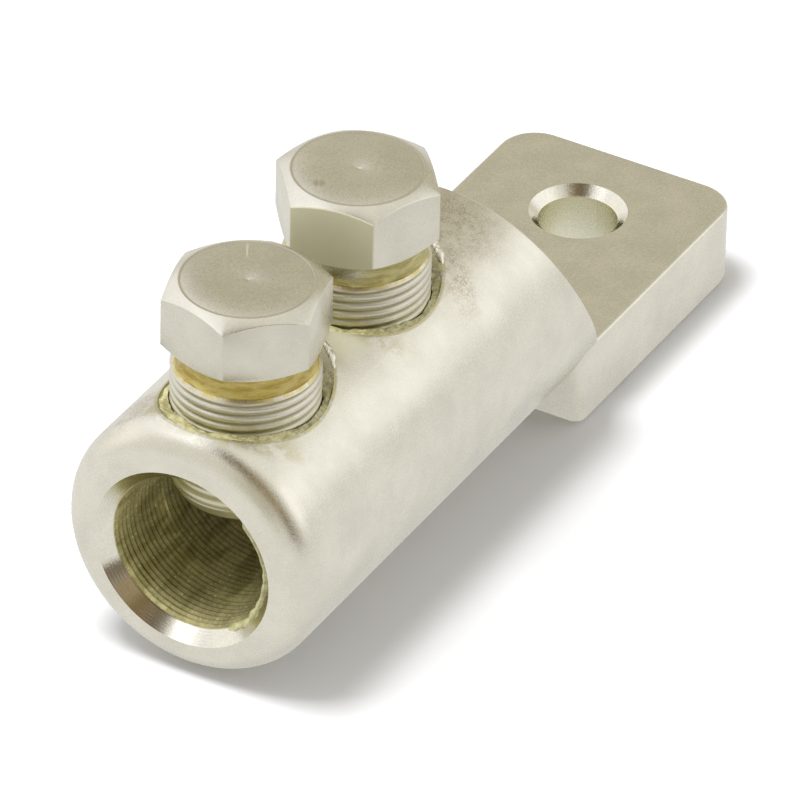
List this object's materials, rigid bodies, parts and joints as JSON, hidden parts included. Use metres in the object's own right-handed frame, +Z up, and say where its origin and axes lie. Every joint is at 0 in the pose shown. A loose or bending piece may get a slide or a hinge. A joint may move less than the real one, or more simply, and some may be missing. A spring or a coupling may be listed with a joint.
{
  "type": "mechanical cable lug",
  "caption": "Tin-plated mechanical cable lug with a blind cable bore, a drilled flat palm and two hex shear bolts.",
  "frame": {"origin": "centre of the stud hole on the palm's contact face, which is its underside", "axes": "+X along the barrel from the mouth to the palm's end, +Y across the palm, +Z up, the way the bolts' heads point"},
  "size_m": [0.1343, 0.0416, 0.0597],
  "materials": {
    "tinned_body": "satin",
    "tinned_bolt": "satin",
    "grease": "gloss"
  },
  "bodies": {
    "lug": {"lug_body": "tinned_body"},
    "front_bolt_travel": {"front_neck_grease": "grease"},
    "front_bolt": {"front_shear_bolt": "tinned_bolt"},
    "rear_bolt_travel": {"rear_neck_grease": "grease"},
    "rear_bolt": {"rear_shear_bolt": "tinned_bolt"}
  },
  "joints": [
    {"name": "front_bolt_travel", "type": "slide", "parent": "lug", "child": "front_bolt_travel", "axis": [0, 0, 1], "range_m": [-0.00603, 0.01653]},
    {"name": "front_bolt_turn", "type": "hinge", "parent": "front_bolt_travel", "child": "front_bolt", "pos_m": [-0.0998, 0, 0.02015], "axis": [0, 0, 1], "range_deg": [-1440, 3960]},
    {"name": "rear_bolt_travel", "type": "slide", "parent": "lug", "child": "rear_bolt_travel", "axis": [0, 0, 1], "range_m": [-0.00678, 0.01503]},
    {"name": "rear_bolt_turn", "type": "hinge", "parent": "rear_bolt_travel", "child": "rear_bolt", "pos_m": [-0.0684, 0, 0.02015], "axis": [0, 0, 1], "range_deg": [-1620, 3600]}
  ],
  "couplings": [
    {"joint": "front_bolt_travel", "follows": "front_bolt_turn", "m_per_rad": 0.00023873},
    {"joint": "rear_bolt_travel", "follows": "rear_bolt_turn", "m_per_rad": 0.00023873}
  ]
}
